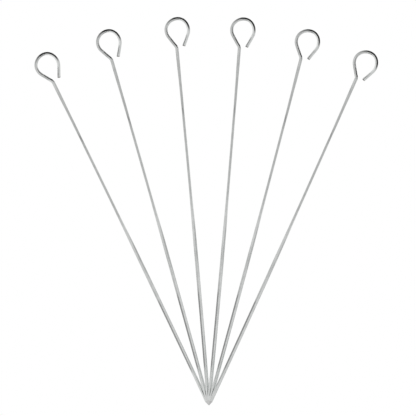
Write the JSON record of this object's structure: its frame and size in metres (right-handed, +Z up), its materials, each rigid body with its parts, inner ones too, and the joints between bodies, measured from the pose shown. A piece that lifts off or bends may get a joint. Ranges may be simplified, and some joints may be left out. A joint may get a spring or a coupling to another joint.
{
  "type": "kebab skewer set",
  "caption": "Loop-handled metal skewers of twisted square wire, each with one ground point and an open ring handle, laid in a fan with the points together.",
  "frame": {"origin": "on the table, under the middle of the fan's outline", "axes": "+Y from the points to the loops along the fan's middle line, +Z up from the table, +X to the right"},
  "size_m": [0.2694, 0.304, 0.0141],
  "materials": {
    "bright_steel": "bright nickel-plated drawn wire"
  },
  "bodies": {
    "skewer_1": {"skewer_1": "bright_steel"},
    "skewer_2": {"skewer_2": "bright_steel"},
    "skewer_3": {"skewer_3": "bright_steel"},
    "skewer_4": {"skewer_4": "bright_steel"},
    "skewer_5": {"skewer_5": "bright_steel"},
    "skewer_6": {"skewer_6": "bright_steel"}
  },
  "joints": [
    {"name": "lift_2", "type": "slide", "parent": "skewer_1", "child": "skewer_2", "axis": [0, 0, 1], "range_m": [0, 0.04]},
    {"name": "lift_3", "type": "slide", "parent": "skewer_2", "child": "skewer_3", "axis": [0, 0, 1], "range_m": [0, 0.04]},
    {"name": "lift_4", "type": "slide", "parent": "skewer_3", "child": "skewer_4", "axis": [0, 0, 1], "range_m": [0, 0.04]},
    {"name": "lift_5", "type": "slide", "parent": "skewer_4", "child": "skewer_5", "axis": [0, 0, 1], "range_m": [0, 0.04]},
    {"name": "lift_6", "type": "slide", "parent": "skewer_5", "child": "skewer_6", "axis": [0, 0, 1], "range_m": [0, 0.04]}
  ]
}
